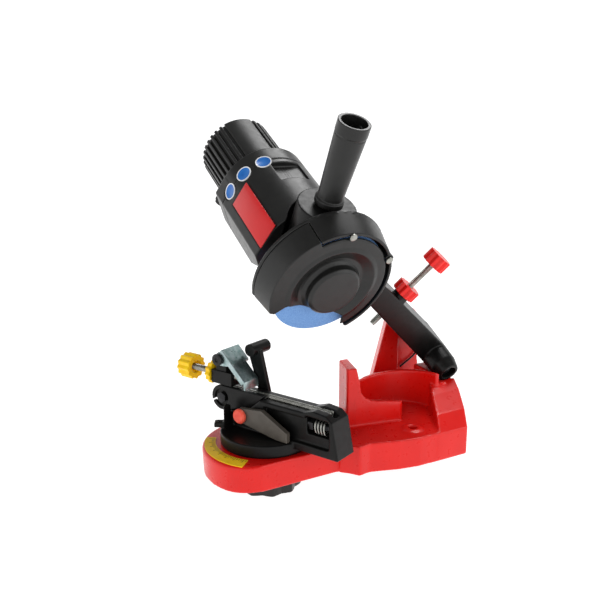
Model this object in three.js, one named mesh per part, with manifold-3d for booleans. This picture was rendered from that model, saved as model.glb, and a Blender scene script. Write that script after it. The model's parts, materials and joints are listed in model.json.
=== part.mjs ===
import * as THREE from 'three';
import { mergeVertices } from 'three/addons/utils/BufferGeometryUtils.js';
import Module from 'manifold-3d';

// Bench grinder for saw chains: a cast base with a swivelling chain vise, and a sprung arm
// that carries the motor, the wheel and its guard. Millimetres, +Z up.

const wasm = await Module();
wasm.setup();

// Clearances and settings that every piece shares.
const gap = 0.3;
const overrun = 3;
const weld = 0.001;
const fineSides = 48;
const roundSides = 28;
const smallSides = 14;
const tapShare = 0.62;

// Base casting: the disc under the vise, the neck and the rear block.
const disc = { x: -1.5, y: -4, radius: 61, footRadius: 60, depth: 25.5, round: 1.5, bore: 4.6, corner: 32 };
const plan = { length: 222, halfWidth: 78.6 };
const neck = { start: -30, end: 66, near: -48, far: 28 };
const block = { foot: -25, floor: 4.5, recess: 17 };
const blockShares = [
  [0.225, -0.656], [0.2545, -0.744], [0.279, -0.852], [0.333, -0.827], [0.378, -0.865],
  [0.459, -0.941], [0.554, -0.992], [0.811, -1], [0.928, -0.445], [0.959, -0.229],
  [1, 0.127], [1, 0.763], [0.66, 0.763], [0.5, 0.356], [0.225, 0.356],
];
const recessShares = [
  [[0.49, -0.64], [0.64, -0.64], [0.64, 0.57], [0.5, 0.27]],
  [[0.71, -0.64], [0.85, -0.64], [0.92, -0.15], [0.955, 0.15], [0.955, 0.64], [0.71, 0.64]],
];
const post = { height: 64, x: 75, y: -24, width: 16, topWidth: 10, depth: 30, skew: 9 };
const lowWall = { startX: 75, startY: -24, endInset: 91, endY: -34.4, thick: 6, height: 25 };
const webShares = [
  [0, 0], [1, 0], [1, 0.385], [0.46, 0.455], [0.335, 0.515], [0.263, 0.6], [0.235, 0.77], [0.204, 0.89],
  [0.172, 1], [0, 1],
];
const pocketInset = 87;
const pocket = {
  x: plan.length - pocketInset, y: -32, radius: 47, wall: 5, rimLow: 33, rimHigh: 42, open: -26,
};
const rampShares = [
  [0.649, -1], [0.752, -0.509], [0.856, -0.038], [0.856, 0.28], [1, 0.28], [1, 0.127], [0.959, -0.229],
  [0.928, -0.445], [0.811, -1],
];
const rampRiseShares = [
  [-1, -0.579], [-1, 0.105], [-0.79, 0.421], [-0.445, 0.63], [-0.25, 0.8], [-0.04, 0.95], [0.28, 1],
  [0.28, -0.579],
];
const rampRise = 38;
const tower = {
  width: 78, lean: 24.4, taper: 12.6, near: 41.8, far: 63, top: 88, backLean: 11, shoulder: 7.2,
  shoulderDrop: 16.7,
  recessWidth: 38, recessNear: 51.5, bossRadius: 12.5, bossStart: 50.3, bossEnd: 62,
};
const boltBoss = { inset: 92, y: -56, radius: 9.7, rise: 1.6, hole: 4.5 };
const tab = { inset: 29, y: -22, radius: 3.6, height: 31 };
const bench = { x: 150, y: -8 };

// Scale plate and lock knob.
const scale = { inner: 48.3, outer: 58.8, thick: 0.6 };
const scaleAngles = [146, 223];
const lockKnob = { radius: 32.7, top: -25.8, bottom: -43.4, lobes: 10, flute: 3.4 };
const stud = { radius: 4, top: 16, bottom: -38 };

// Vise, in its own frame: X along the rails toward the near end, Z up.
const viseAngle = -66;
const drum = { radius: 43.5, waist: 40, step: 12, top: 19.5, chamfer: 1.5 };
const pointer = { angle: 150, reach: 49, width: 9, low: 14, high: 19 };
const pillar = { left: -41, right: -29.5, high: 34 };
const beam = {
  half: 13.4, left: -58, heel: -38, right: 90, top: 44, bottom: 6.5, hump: 47.5, humpLength: 37.5,
  shelf: 23, slot: 3.3, slotFloor: 40.7,
};
const beamPanel = { left: 8, right: 80, low: 14, high: 39, depth: 4.5 };
const springBay = { left: 54, right: 80, low: 23.5, high: 41.5, floor: 3.2 };
const rail = { thick: 2.2, chainGap: 1.6, low: 41, high: 45.6, left: -55, right: 75 };
const jaw = {
  inner: 3.3, travel: 0.8, thick: 5.3, centreX: -48.4, centreZ: 34.5, radius: 12.4, tipX: 5, tipZ: 46.8,
  heelX: -13, heelZ: 31,
  boltRecess: 8.6, recessDepth: 2.5, firstAngle: 80, sweep: 200,
};
const jawBolt = { radius: 5.6, head: 3, shank: 2.4 };
const jawPin = { x: -57.9, z: 30.5, radius: 2 };
const lever = {
  x: -15.3, z: 26.9, inner: 14, thick: 5, hub: 7, endX: 38.5, endTop: 22, endLow: 12.8, neckX: 9,
  neckZ: 37,
  toeX: 26, toeZ: 12.8, backX: -18, backZ: 20.4, pin: 3, capRadius: 7, capThick: 4, capRound: 1.4,
};
const stopBlock = {
  left: -62, right: -36, low: 47.3, high: 60.5, half: 8, earX: -50, earZ: 73, earRadius: 6.5,
  earHalf: 6.6,
};
const linkPlate = {
  topX: -46, topZ: 83, footX: -18, footZ: 56, toeX: -17, toeZ: 48, thick: 1.6, near: -10, far: 15,
  notch: 10,
  notchShare: 0.45, cheek: 1.6, strip: 5,
};
const cheekShare = 0.42;
const stopPin = { radius: 2, head: 5.8, headThick: 2.4, socket: 2.2, socketDepth: 1.2 };
const pawl = {
  inner: 13.8, thick: 4.4, footX: -14, footZ: 40, width: 13, topWidth: 16, gripX: -26, gripZ: 81.5,
  gripRadius: 6.2,
  gripNear: 8, gripFar: 33, pin: 2,
};
const adjuster = { z: 55.3, radius: 3.2, left: -103, right: -24 };
const lockNut = { left: -67.6, right: -62.3, radius: 11.6, lobes: 12, flute: 1.7 };
const adjustKnob = { left: -104, right: -89, radius: 12.8, lobes: 12, flute: 1.8, cup: 6.5, cupDepth: 3 };
const viseSpring = {
  y: -5.5, z: 32.5, radius: 7, wire: 1.7, left: 62, right: 78, turns: 4, rod: 3.4, nut: 6.2, nutThick: 4,
};

// Head, in a frame tilted back about X: X along the base, Y along the spindle, Z up the head.
const head = { rise: 59.46, tilt: 30 };
const work = { turn: 19.1 };
const pivotInset = 17.5;
const pivot = { x: plan.length - pivotInset, z: -9.9 };
const hub = { x: 31.4, z: 116.3 };
const arm = {
  lean: 5.5, root: 14.2, tipLow: 7.8, tipHigh: 12, front: -1, back: 38, overhang: 7.8, barrel: 14.5,
  nose: 11, noseEnd: -28, noseStart: -17,
  bore: 8, boss: 26, bossY: 34, bossLow: -15, bossHigh: 56, snout: 22, snoutEnd: 70, snoutBore: 14,
  web: 2,
};
// The bar starts at the pivot and passes just below the hub.
const armLength = Math.hypot(pivot.x - hub.x, hub.z - pivot.z) + arm.overhang;
const armAngle = THREE.MathUtils.radToDeg(Math.atan2(hub.z - pivot.z, hub.x - pivot.x)) - arm.lean;
const saddle = { clear: 1, front: -30 };
const shaft = { radius: 5, front: -19, back: 61 };
const bushing = { length: 12, inset: 1 };
const pivotScrew = { head: 5, headThick: 3.4, washer: 7.2, washerThick: 1.3 };
const returnSpring = {
  radius: 9, wire: 2.1, turns: 2.7, start: 39.8, pitch: 2.9, leg: 45, firstTurn: 0,
};
const springLegShares = [[0, 0, -0.38], [0, -0.183, -0.702], [-0.469, -0.332, -0.962]];
const curlSteps = 8;
const curlSides = 5;

// Guard and wheel, about the spindle.
const wheel = { radius: 52.5, thick: 3.2, bore: 11.1 };
const guard = {
  outer: 58, backOuter: 63.5, front: -8, back: 17, split: 14, wall: 2.6, plate: 52.6, seam: 135.6,
  opening: 25.5,
  lobe: 37, notch: 36, step: 4, hubRadius: 24.6, hubFront: -14.6, sheet: 2.4, shaftHole: 16, right: -60,
  seamGap: 0.5,
};
const ridge = { inner: 27.5, valley: 31, crest: 40, rim: 44, valleyY: -4.8, crestY: -9.4, rimY: -8.2 };
const coverScrew = {
  radius: 2.6, head: 3.4, headThick: 1.6, length: 14, angles: [107, 47], pitch: 55.2, bossRadius: 4.6,
};
const guardScrew = { radius: 2.2, head: 4, headThick: 2, length: 9, circle: 21, angles: [20, 200] };
const spindle = {
  radius: 5, front: -11, backInset: 17, flange: 17, flangeThick: 3, spigot: 10.8, nut: 8, nutThick: 5.5,
  sleeve: 9,
};

// Motor, about the spindle.
const motor = {
  radius: 44.5, corner: 48.4, front: 46, split: 124, rearLength: 18, chamferLength: 4, chamferRadius: 38,
  bore: 38,
  boreStart: 68, scoop: 30, chinY: 62, chinRun: 26, chinRise: 11, wall: 4,
};
const motorBack = motor.split + motor.rearLength;
const capStart = motorBack + motor.chamferLength;
const windowCut = { left: -12, right: 17, inset: 6, length: 25, depth: 6 };
const cap = {
  radius: 36.3, length: 63, wall: 4.6, floor: 5, slotWidth: 3.1, slotDepth: 3.4, slotPitch: 10, slots: 9,
  firstAngle: 126, mirrorAngle: 101, inset: 3.5,
};
const capEnd = capStart + cap.length;
const stator = {
  outer: 37.6, inner: 20.8, length: 42, overlap: 2, coilOuter: 35, coilInner: 23, coilLength: 9,
};
const rotor = { radius: 20.3, inset: 1 };
const statorEnd = motor.split + stator.overlap;
const statorStart = statorEnd - stator.length;
const fan = { radius: 30.4, inset: 1, thick: 6, hub: 9, blades: 9, bladeThick: 2, bladeLength: 8 };
const bearing = { outer: 13.6, inner: 5.3, length: 9, front: 57, rearInset: 27 };
const bracket = { radius: 31.2, inset: 33, thick: 5, cupRadius: 17 };
const label = { inset: 14, width: 25, thick: 0.8, z: 3 };
const badge = { radius: 7.6, thick: 0.8, inset: 1, angles: [166, 139, 112], flat: 0.5 };
const switchBox = {
  width: 15, length: 21, rise: 3, y: 76, rocker: 10, rockerLength: 14, rockerRise: 3, depth: 5,
};
const gland = { radius: 7, length: 16, inset: 23, bore: 3.4, ribs: 3, ribRise: 1.2 };

// Handle, on the boss above the spindle.
const handle = {
  foot: 11, top: 13.6, base: 58.7, length: 76, bore: 10.8, boreDepth: 58, ribThick: 2, ribDepth: 7,
  ring: 12.6, ringHeight: 6, groove: 1, ribTurn: 20,
};
const handleStud = { radius: 3.8, low: 40, high: 72 };

// Depth stop, through the arm.
const stop = { y: 6, along: 116.9, below: 22.2, cross: 81, length: 100, radius: 3, boss: 8 };
const stopAngle = armAngle - stop.cross;
const stopKnob = { radius: 12, thick: 12, start: 80, lobes: 12, flute: 1.5 };
const jamKnob = { radius: 12, thick: 10.5, start: 41, lobes: 12, flute: 1.5 };

const radians = THREE.MathUtils.degToRad;
const polar = (radius, degrees) => [
  radius * Math.cos(radians(degrees)), radius * Math.sin(radians(degrees)),
];
const fromShares = (shares, width, height) => shares.map(([x, y]) => [x * width, y * height]);

// The stop screw's lower end, reached along the arm from the pivot and then back along the screw.
const [armRunX, armRunZ] = polar(stop.along, armAngle);
const [stopRunX, stopRunZ] = polar(stop.below, stopAngle);
const stopTip = [pivot.x + armRunX - stopRunX, pivot.z + armRunZ - stopRunZ];

const paints = {
  red: new THREE.MeshStandardMaterial({ color: 0xd4120f, roughness: 0.35, metalness: 0.1 }),
  black: new THREE.MeshStandardMaterial({ color: 0x2b2b29, roughness: 0.55, metalness: 0 }),
  darkGrey: new THREE.MeshStandardMaterial({ color: 0x57524c, roughness: 0.6, metalness: 0 }),
  steel: new THREE.MeshStandardMaterial({ color: 0xb9bbbd, roughness: 0.3, metalness: 0.9 }),
  zinc: new THREE.MeshStandardMaterial({ color: 0x9fb0b0, roughness: 0.35, metalness: 0.8 }),
  darkSteel: new THREE.MeshStandardMaterial({ color: 0x3a3a3c, roughness: 0.45, metalness: 0.7 }),
  yellow: new THREE.MeshStandardMaterial({ color: 0xf4c20d, roughness: 0.5, metalness: 0 }),
  knobRed: new THREE.MeshStandardMaterial({ color: 0xe8261c, roughness: 0.5, metalness: 0 }),
  orange: new THREE.MeshStandardMaterial({ color: 0xe0452f, roughness: 0.5, metalness: 0 }),
  abrasive: new THREE.MeshStandardMaterial({ color: 0x7f9fd6, roughness: 0.95, metalness: 0 }),
  brass: new THREE.MeshStandardMaterial({ color: 0xb08d3c, roughness: 0.4, metalness: 0.8 }),
  copper: new THREE.MeshStandardMaterial({ color: 0xb8693d, roughness: 0.45, metalness: 0.8 }),
  laminate: new THREE.MeshStandardMaterial({ color: 0x8b8f92, roughness: 0.5, metalness: 0.7 }),
  labelRed: new THREE.MeshStandardMaterial({ color: 0xc8141c, roughness: 0.4, metalness: 0 }),
  blue: new THREE.MeshStandardMaterial({ color: 0x2f78c4, roughness: 0.4, metalness: 0 }),
};

// Turns a three.js geometry into a closed solid, facing outward.
function solidOf(geometry) {
  const bare = geometry.clone();
  bare.deleteAttribute('normal');
  bare.deleteAttribute('uv');
  const merged = mergeVertices(bare, weld);
  const corners = [];
  const index = merged.index.array;
  for (let i = 0; i < index.length; i += 3) {
    const [a, b, c] = [index[i], index[i + 1], index[i + 2]];
    if (a !== b && b !== c && c !== a) corners.push(a, b, c);
  }
  const vertProperties = Float32Array.from(merged.attributes.position.array);
  if (signedVolume(vertProperties, corners) < 0) corners.reverse();
  const triVerts = Uint32Array.from(corners);
  return new wasm.Manifold(new wasm.Mesh({ numProp: 3, vertProperties, triVerts }));
}

function signedVolume(places, corners) {
  const [a, b, c] = [new THREE.Vector3(), new THREE.Vector3(), new THREE.Vector3()];
  let volume = 0;
  for (let i = 0; i < corners.length; i += 3) {
    a.fromArray(places, corners[i] * 3);
    b.fromArray(places, corners[i + 1] * 3);
    c.fromArray(places, corners[i + 2] * 3);
    volume += a.dot(b.cross(c)) / 6;
  }
  return volume;
}

function geometryOf(solid) {
  const mesh = solid.getMesh();
  const geometry = new THREE.BufferGeometry();
  geometry.setAttribute('position', new THREE.BufferAttribute(Float32Array.from(mesh.vertProperties), 3));
  geometry.setIndex(new THREE.BufferAttribute(Uint32Array.from(mesh.triVerts), 1));
  const flat = geometry.toNonIndexed();
  flat.computeVertexNormals();
  return flat;
}

const join = (...solids) => solids.reduce((whole, next) => whole.add(next));
const cut = (whole, ...tools) => tools.reduce((rest, tool) => rest.subtract(tool), whole);

// A box between two values on each axis.
function slab([x0, x1], [y0, y1], [z0, z1]) {
  const geometry = new THREE.BoxGeometry(x1 - x0, y1 - y0, z1 - z0);
  geometry.translate((x0 + x1) / 2, (y0 + y1) / 2, (z0 + z1) / 2);
  return solidOf(geometry);
}

// An outline in a plane, drawn out along the axis that is square to it.
function prism(outline, low, high, axis = 'z') {
  const shape = new THREE.Shape(outline.map(([x, y]) => new THREE.Vector2(x, y)));
  const geometry = new THREE.ExtrudeGeometry(shape, { depth: high - low, bevelEnabled: false });
  geometry.translate(0, 0, low);
  if (axis === 'y') geometry.rotateX(Math.PI / 2).scale(1, -1, 1);
  if (axis === 'x') geometry.rotateY(Math.PI / 2).rotateX(Math.PI / 2);
  return solidOf(geometry);
}

// A profile of [radius, height] places turned about an axis through a point.
function turned(profile, axis = 'z', [x, y, z] = [0, 0, 0], sides = roundSides) {
  const geometry = new THREE.LatheGeometry(profile.map(([r, h]) => new THREE.Vector2(r, h)), sides);
  if (axis === 'z') geometry.rotateX(Math.PI / 2);
  if (axis === 'x') geometry.rotateZ(-Math.PI / 2);
  geometry.translate(x, y, z);
  return solidOf(geometry);
}

function rod(radius, low, high, axis = 'z', at = [0, 0, 0], sides = roundSides) {
  return turned([[0, low], [radius, low], [radius, high], [0, high]], axis, at, sides);
}

function tube(outer, inner, low, high, axis = 'z', at = [0, 0, 0], sides = roundSides) {
  return turned(
    [[inner, low], [outer, low], [outer, high], [inner, high], [inner, low]], axis, at, sides,
  );
}

// A wedge about the Z or Y axis between two angles, for taking a sector of a turned piece.
function wedge(reach, from, to, low, high, axis = 'z') {
  const steps = 12;
  const outline = [[0, 0]];
  for (let i = 0; i <= steps; i += 1) outline.push(polar(reach, from + ((to - from) * i) / steps));
  return prism(outline, low, high, axis);
}

// A round knob with flutes round its rim.
function fluted({ radius, lobes, flute }, low, high, axis, at = [0, 0, 0]) {
  const points = [];
  const perLobe = 4;
  for (let i = 0; i < lobes * perLobe; i += 1) {
    const turn = (2 * Math.PI * i) / (lobes * perLobe);
    const reach = radius - (flute * (1 - Math.cos(turn * lobes))) / 2;
    points.push([reach * Math.cos(turn), reach * Math.sin(turn)]);
  }
  return prism(points, low, high, axis).translate(at);
}

// A wire of round section along a list of places.
function wire(places, radius, steps, sides) {
  const corners = [];
  for (let i = 0; i < sides; i += 1) corners.push(new THREE.Vector2(...polar(radius, (360 * i) / sides)));
  const path = new THREE.CatmullRomCurve3(places, false, 'centripetal');
  return new THREE.ExtrudeGeometry(
    new THREE.Shape(corners), { steps, bevelEnabled: false, extrudePath: path },
  );
}

function frameOf(parent, { at = [0, 0, 0], turn = [0, 0, 0] } = {}) {
  const frame = new THREE.Group();
  frame.position.set(...at);
  frame.rotation.set(...turn.map(radians));
  parent.add(frame);
  return frame;
}

function piece(frame, name, shape, paint) {
  const geometry = shape.isBufferGeometry ? shape : geometryOf(shape);
  const mesh = new THREE.Mesh(geometry, paint);
  mesh.name = name;
  frame.add(mesh);
}

// Frames: the row's origin lies on the face that rests on the bench.
const grinder = new THREE.Group();
const base = frameOf(grinder, { at: [-bench.x, -bench.y, -block.foot] });
const viseFrame = frameOf(base, { turn: [0, 0, viseAngle] });
const headFrame = frameOf(base, { at: [0, 0, head.rise], turn: [head.tilt, 0, 0] });
const spindleFrame = frameOf(headFrame, { at: [hub.x, 0, hub.z] });
const workFrame = frameOf(spindleFrame, { turn: [0, work.turn, 0] });

// A solid of the head's frame, moved into the base's frame.
const fromHead = (solid) => solid.rotate([head.tilt, 0, 0]).translate([0, 0, head.rise]);

// The disc's rim at one height, running through a wide corner into the neck's straight flank.
function discRim(radius, z) {
  const flank = neck.near + disc.radius - radius;
  const cornerY = flank + disc.corner - disc.y;
  const cornerX = -Math.sqrt((radius - disc.corner) ** 2 - cornerY ** 2);
  const { radToDeg } = THREE.MathUtils;
  const first = radToDeg(Math.asin((flank - disc.y) / radius));
  const meet = 360 + radToDeg(Math.atan2(cornerY, cornerX));
  const down = 270;
  const cornerSides = 8;
  const points = [];
  for (let i = 0; i <= fineSides; i += 1) {
    points.push(polar(radius, first + ((meet - first) * i) / fineSides));
  }
  for (let i = 1; i <= cornerSides; i += 1) {
    const [x, y] = polar(disc.corner, meet + ((down - meet) * i) / cornerSides);
    points.push([cornerX + x, cornerY + y]);
  }
  return points.map(([x, y]) => [disc.x + x, disc.y + y, z]);
}

function baseCasting() {
  const wide = discRim(disc.radius, -disc.round);
  const discBody = join(
    loft(discRim(disc.footRadius, -disc.depth), wide),
    loft(wide, discRim(disc.radius - disc.round, 0)),
  );
  const neckBody = slab([neck.start, neck.end], [neck.near, neck.far], [-disc.depth, 0]);
  const blockBody = prism(fromShares(blockShares, plan.length, plan.halfWidth), block.foot, block.floor);
  const recesses = recessShares.map((shares) => prism(
    fromShares(shares, plan.length, plan.halfWidth), block.foot - overrun, block.foot + block.recess,
  ));
  const mass = cut(join(discBody, neckBody, blockBody, rampBody()), ...recesses);
  const bossPlace = [plan.length - boltBoss.inset, boltBoss.y, 0];
  const boss = rod(boltBoss.radius, block.floor - overrun, block.floor + boltBoss.rise, 'z', bossPlace);
  const hole = rod(
    boltBoss.hole, block.foot - overrun, block.floor + overrun * 2, 'z', bossPlace, smallSides,
  );
  const bore = rod(disc.bore, -disc.depth - overrun, overrun, 'z', [0, 0, 0], smallSides);
  const rearTab = rod(
    tab.radius, block.floor, tab.height, 'z', [plan.length - tab.inset, tab.y, 0], smallSides,
  );
  const walls = join(stopPost(), lowWallBody(), pocketWall(), towerBody(), rearTab);
  return cut(join(mass, boss, walls), hole, bore, ...saddleTools());
}

function stopPost() {
  const section = (width, z) => [
    [0, 0], [width, 0], [width + post.skew, post.depth], [post.skew, post.depth],
  ]
    .map(([x, y]) => [post.x + x, post.y + y, z]);
  return loft(section(post.width, block.floor - overrun), section(post.topWidth, post.height));
}

// A block between two outlines with the same number of corners.
function loft(low, high) {
  const count = low.length;
  const places = [...low, ...high].flat();
  const index = [];
  for (let i = 0; i < count; i += 1) {
    const next = (i + 1) % count;
    index.push(i, next, count + next, i, count + next, count + i);
  }
  for (let i = 1; i < count - 1; i += 1) {
    index.push(0, i + 1, i, count, count + i, count + i + 1);
  }
  const geometry = new THREE.BufferGeometry();
  geometry.setAttribute('position', new THREE.BufferAttribute(Float32Array.from(places), 3));
  geometry.setIndex(index);
  return solidOf(geometry);
}

function lowWallBody() {
  const run = [plan.length - lowWall.endInset - lowWall.startX, lowWall.endY - lowWall.startY];
  const length = Math.hypot(...run);
  const turn = THREE.MathUtils.radToDeg(Math.atan2(run[1], run[0]));
  const outline = fromShares(webShares, length, post.height);
  const web = prism(outline, 0, lowWall.thick, 'y');
  const end = rod(lowWall.thick / 2, 0, lowWall.height, 'z', [length, lowWall.thick / 2, 0], smallSides);
  return join(web, end).rotate([0, 0, turn]).translate([lowWall.startX, lowWall.startY, 0]);
}

function pocketWall() {
  const at = [pocket.x, pocket.y, 0];
  const shell = tube(
    pocket.radius + pocket.wall, pocket.radius, block.floor - overrun, pocket.rimHigh, 'z', at, fineSides,
  );
  const reach = pocket.radius + pocket.wall + overrun;
  const front = slab(
    [pocket.x - reach, pocket.x + reach], [pocket.y - reach, pocket.open], [0, pocket.rimHigh + overrun],
  );
  const rim = loft(
    [[-reach, -reach], [reach, -reach], [reach, reach], [-reach, reach]].map(([x, y]) => [
      pocket.x + x, pocket.y + y, x < 0 ? pocket.rimLow : pocket.rimHigh,
    ]),
    [[-reach, -reach], [reach, -reach], [reach, reach], [-reach, reach]].map(([x, y]) => [
      pocket.x + x, pocket.y + y, pocket.rimHigh + reach,
    ]),
  );
  return cut(shell, front, rim);
}

function rampBody() {
  const sheet = prism(fromShares(rampRiseShares, plan.halfWidth, rampRise), 0, plan.length, 'x');
  const outline = prism(fromShares(rampShares, plan.length, plan.halfWidth), block.foot, tower.top);
  return cut(sheet.intersect(outline), backTool());
}

// The casting's back face leans in above the floor.
function backTool() {
  const high = tower.top + overrun;
  return prism([
    [plan.length, block.floor], [plan.length + overrun, block.floor], [plan.length + overrun, high],
    [plan.length - tower.backLean, high],
  ], -plan.length, plan.length, 'y');
}

function towerBody() {
  const left = plan.length - tower.width;
  const section = (x, z) => [
    [x, tower.near, z], [plan.length, tower.near, z], [plan.length, tower.far, z],
    [x + tower.taper, tower.far, z],
  ];
  const plate = loft(section(left, block.floor - gap), section(left + tower.lean, tower.top));
  const shoulder = prism([
    [plan.length - tower.backLean - tower.shoulder, tower.top + gap],
    [plan.length + overrun, tower.top + gap],
    [plan.length + overrun, tower.top - tower.shoulderDrop],
    [plan.length - tower.backLean + gap, tower.top - tower.shoulderDrop],
  ], tower.near - overrun, tower.far + overrun, 'y');
  const recess = slab(
    [plan.length - tower.recessWidth, plan.length + overrun], [tower.near - overrun, tower.recessNear],
    [block.floor, tower.top + overrun],
  );
  const boss = fromHead(
    rod(tower.bossRadius, tower.bossStart, tower.bossEnd, 'y', [pivot.x, 0, pivot.z]),
  );
  const bore = fromHead(
    rod(shaft.radius + gap, tower.bossStart - overrun, shaft.back + gap, 'y', [pivot.x, 0, pivot.z]),
  );
  return cut(join(cut(plate, recess, shoulder, backTool()), boss), bore);
}

// Clears the arm's barrel, the spring and the arm's sweep out of the casting.
function saddleTools() {
  const at = [pivot.x, 0, pivot.z];
  const barrel = rod(arm.barrel + saddle.clear, saddle.front, tower.bossStart, 'y', at);
  return [fromHead(barrel)];
}

function anglePlate() {
  const plate = rod(scale.outer, gap, gap + scale.thick, 'z', [disc.x, disc.y, 0], fineSides * 2);
  const hole = rod(scale.inner, 0, scale.thick * 4, 'z', [0, 0, 0], fineSides * 2);
  return cut(plate, hole).intersect(wedge(scale.outer * 2, ...scaleAngles, 0, scale.thick * 4));
}

function lockKnobBody() {
  const grip = fluted(lockKnob, lockKnob.bottom, lockKnob.top);
  return cut(grip, rod(stud.radius + gap, stud.bottom - gap, 0, 'z', [0, 0, 0], smallSides));
}

// Vise pieces.
function turntable() {
  const body = turned([
    [0, gap], [drum.radius, gap], [drum.radius, drum.step], [drum.waist, drum.step + drum.chamfer],
    [drum.waist, drum.top], [0, drum.top],
  ], 'z', [0, 0, 0], fineSides);
  const outline = [
    [beam.left, beam.shelf], [beam.heel, beam.shelf], [beam.heel, drum.top - gap],
    [drum.radius / 2, drum.top - gap],
    [drum.radius + gap, beam.bottom], [beam.right, beam.bottom],
    [beam.right - beam.half / 2, beam.top - beam.slot],
    [beam.right - beam.half, beam.hump - drum.chamfer],
    [beam.right - beam.half * 2, beam.hump], [beam.right - beam.humpLength, beam.top],
    [beam.left, beam.top],
  ];
  const bar = prism(outline, -beam.half, beam.half, 'y');
  const lug = slab(
    [0, pointer.reach], [-pointer.width / 2, pointer.width / 2], [pointer.low, pointer.high],
  )
    .rotate([0, 0, pointer.angle - viseAngle]);
  const heelPillar = rod(drum.waist, drum.top - gap, pillar.high, 'z', [0, 0, 0], fineSides)
    .intersect(
      slab(
        [pillar.left, pillar.right], [-drum.waist, -jaw.inner - jaw.thick - gap * 4], [0, pillar.high],
      ),
    );
  const slot = slab(
    [beam.left - overrun, beamPanel.right], [-beam.slot - jaw.travel, beam.slot],
    [beam.slotFloor, beam.hump + overrun],
  );
  const panel = slab(
    [beamPanel.left, beamPanel.right], [-beam.half - overrun, -beam.half + beamPanel.depth],
    [beamPanel.low, beamPanel.high],
  );
  const bay = slab(
    [springBay.left, springBay.right], [-beam.half - overrun, springBay.floor],
    [springBay.low, springBay.high],
  );
  const low = jaw.centreZ - jaw.radius - gap;
  const jawBay = prism([
    [beam.left - overrun, beam.hump], [beam.left - overrun, low], [jaw.centreX + overrun, low],
    [jaw.heelX + gap, jaw.heelZ - gap * 2], [jaw.tipX + gap * 2, jaw.tipZ - gap],
    [jaw.tipX + gap * 2, beam.hump],
  ], -beam.half - overrun, -jaw.inner + gap, 'y');
  const studBore = rod(stud.radius + gap, 0, stud.top + gap, 'z', [0, 0, 0], smallSides);
  const pinBore = rod(lever.pin + gap, -drum.radius, drum.radius, 'y', [lever.x, 0, lever.z], smallSides);
  const notch = slab(
    [lever.x - lever.hub * 2, lever.endX + overrun], [-drum.radius, -lever.inner + gap],
    [drum.step + gap, drum.top + overrun],
  );
  const pawlBore = rod(
    pawl.pin + gap, beam.slot * 2 - gap, drum.radius, 'y', [pawl.footX, 0, pawl.footZ], smallSides,
  );
  return cut(
    join(body, bar, lug, heelPillar), slot, panel, bay, jawBay, studBore, pinBore, pawlBore, notch,
  );
}

function railPlate(side) {
  const inner = rail.chainGap / 2;
  const outer = inner + rail.thick;
  const across = side < 0 ? [-outer, -inner] : [inner, outer];
  return slab([rail.left, rail.right], across, [rail.low, rail.high]);
}

function jawPlate() {
  const points = [];
  const steps = 16;
  for (let i = 0; i <= steps; i += 1) {
    const [x, z] = polar(jaw.radius, jaw.firstAngle + (jaw.sweep * i) / steps);
    points.push([jaw.centreX + x, jaw.centreZ + z]);
  }
  points.push([jaw.heelX, jaw.heelZ], [jaw.tipX, jaw.tipZ]);
  const plate = prism(points, -jaw.inner - jaw.thick, -jaw.inner, 'y');
  const outer = -jaw.inner - jaw.thick;
  const recess = rod(
    jaw.boltRecess, outer - overrun, outer + jaw.recessDepth, 'y', [jaw.centreX, 0, jaw.centreZ],
  );
  const bore = rod(
    jawBolt.shank + gap, outer - overrun, overrun, 'y', [jaw.centreX, 0, jaw.centreZ], smallSides,
  );
  const hole = rod(jawPin.radius, outer - overrun, overrun, 'y', [jawPin.x, 0, jawPin.z], smallSides);
  return cut(plate, recess, bore, hole);
}

function jawBoltBody() {
  const outer = -jaw.inner - jaw.thick + jaw.recessDepth - gap;
  const at = [jaw.centreX, 0, jaw.centreZ];
  const bolt = join(
    rod(jawBolt.radius, outer - jawBolt.head, outer, 'y', at, 6),
    rod(jawBolt.shank, outer - gap, -jaw.inner, 'y', at, smallSides),
  );
  return bolt;
}

function clampLever() {
  const points = [
    [lever.backX, lever.backZ], [lever.toeX, lever.toeZ], [lever.endX, lever.endLow],
    [lever.endX, lever.endTop],
    [lever.neckX, lever.neckZ], [lever.x, lever.z + lever.hub],
  ];
  const blade = prism(points, -lever.inner - lever.thick, -lever.inner, 'y');
  const hubDisc = rod(lever.hub, -lever.inner - lever.thick, -lever.inner, 'y', [lever.x, 0, lever.z]);
  const bore = rod(lever.pin + gap, -drum.radius, overrun, 'y', [lever.x, 0, lever.z], smallSides);
  return cut(join(blade, hubDisc), bore);
}

function leverCap() {
  const outer = -lever.inner - lever.thick - gap;
  return turned([
    [0, outer - lever.capThick], [lever.capRadius - lever.capRound, outer - lever.capThick],
    [lever.capRadius, outer - lever.capThick + lever.capRound], [lever.capRadius, outer],
    [lever.pin, outer],
    [lever.pin, beam.half], [0, beam.half],
  ], 'y', [lever.x, 0, lever.z]);
}

function stopBlockBody() {
  const bed = slab(
    [stopBlock.left, stopBlock.right], [-stopBlock.half, stopBlock.half], [stopBlock.low, stopBlock.high],
  );
  const ear = join(
    slab(
      [stopBlock.earX - stopBlock.earRadius, stopBlock.earX + stopBlock.earRadius],
      [-stopBlock.earHalf, stopBlock.earHalf], [stopBlock.high - gap, stopBlock.earZ],
    ),
    rod(
      stopBlock.earRadius, -stopBlock.earHalf, stopBlock.earHalf, 'y',
      [stopBlock.earX, 0, stopBlock.earZ],
    ),
  );
  const screwBore = rod(
    adjuster.radius + gap, stopBlock.left - overrun, stopBlock.right + overrun, 'x', [0, 0, adjuster.z],
    smallSides,
  );
  const pinBore = rod(
    stopPin.radius + gap, -beam.half, beam.half, 'y', [stopBlock.earX, 0, stopBlock.earZ], smallSides,
  );
  return cut(join(bed, ear), screwBore, pinBore);
}

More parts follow.
